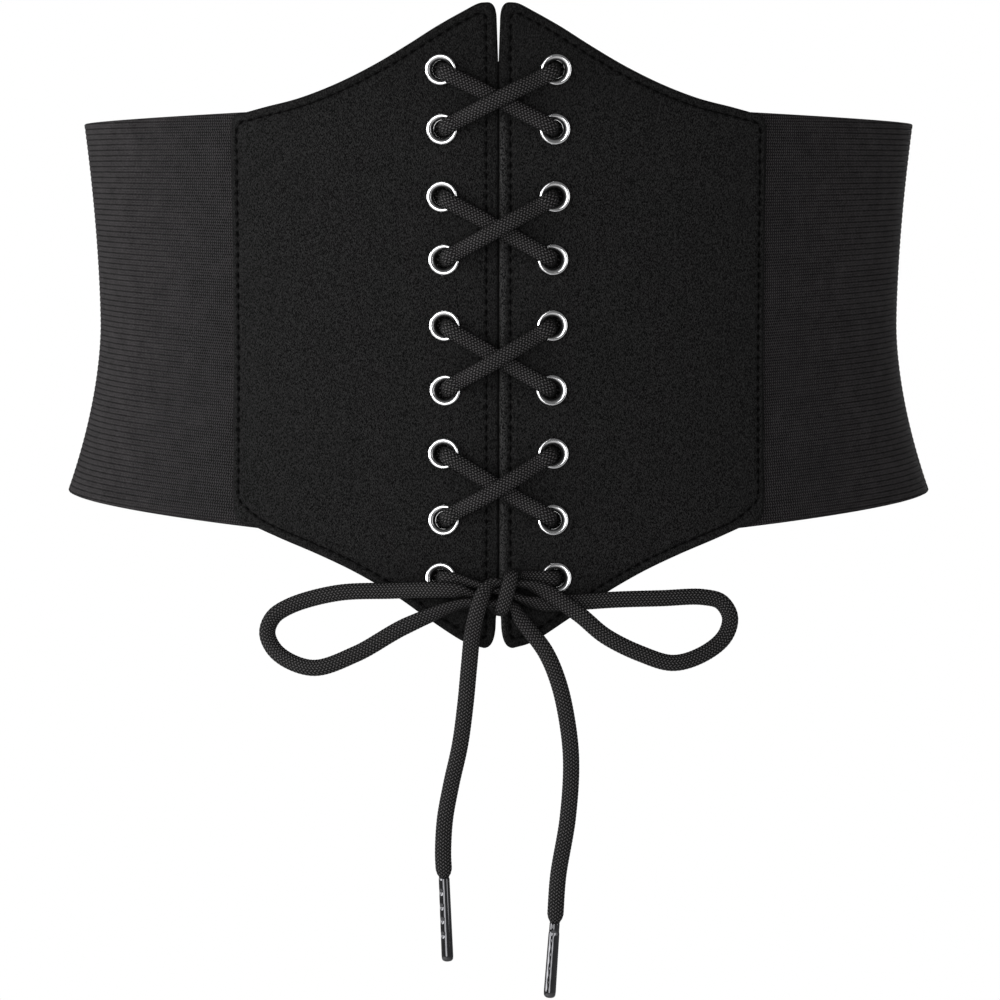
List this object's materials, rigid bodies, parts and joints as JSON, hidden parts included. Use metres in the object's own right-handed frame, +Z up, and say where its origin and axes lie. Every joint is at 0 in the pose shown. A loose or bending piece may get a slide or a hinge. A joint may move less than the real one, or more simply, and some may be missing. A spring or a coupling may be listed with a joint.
{
  "type": "corset belt",
  "caption": "Wide laced corset belt in its worn form: pointed suede front panels, ribbed elastic bands, metal eyelets and a braided lace tied in a bow with metal tips.",
  "frame": {"origin": "middle of the waist at the belt's narrowest level", "axes": "+X to the right as the front is seen, -Y out of the front, +Z up"},
  "size_m": [0.2944, 0.2158, 0.3122],
  "materials": {
    "suede": "napped black suede, matt",
    "elastic": "ribbed charcoal elastic webbing, matt",
    "eyelet_metal": "polished nickel",
    "braid": "black braided lace, slight sheen",
    "tip_metal": "polished gunmetal"
  },
  "bodies": {
    "root": {"panel_right": "suede", "panel_left": "suede", "elastic_right": "elastic", "elastic_left": "elastic", "back_closure": "suede", "eyelet_left_1": "eyelet_metal", "eyelet_left_2": "eyelet_metal", "eyelet_left_3": "eyelet_metal", "eyelet_left_4": "eyelet_metal", "eyelet_left_5": "eyelet_metal", "eyelet_left_6": "eyelet_metal", "eyelet_left_7": "eyelet_metal", "eyelet_left_8": "eyelet_metal", "eyelet_left_9": "eyelet_metal", "eyelet_right_1": "eyelet_metal", "eyelet_right_2": "eyelet_metal", "eyelet_right_3": "eyelet_metal", "eyelet_right_4": "eyelet_metal", "eyelet_right_5": "eyelet_metal", "eyelet_right_6": "eyelet_metal", "eyelet_right_7": "eyelet_metal", "eyelet_right_8": "eyelet_metal", "eyelet_right_9": "eyelet_metal", "lace": "braid", "cord_left": "braid", "cord_right": "braid", "aglet_left": "tip_metal", "aglet_right": "tip_metal"}
  },
  "joints": []
}
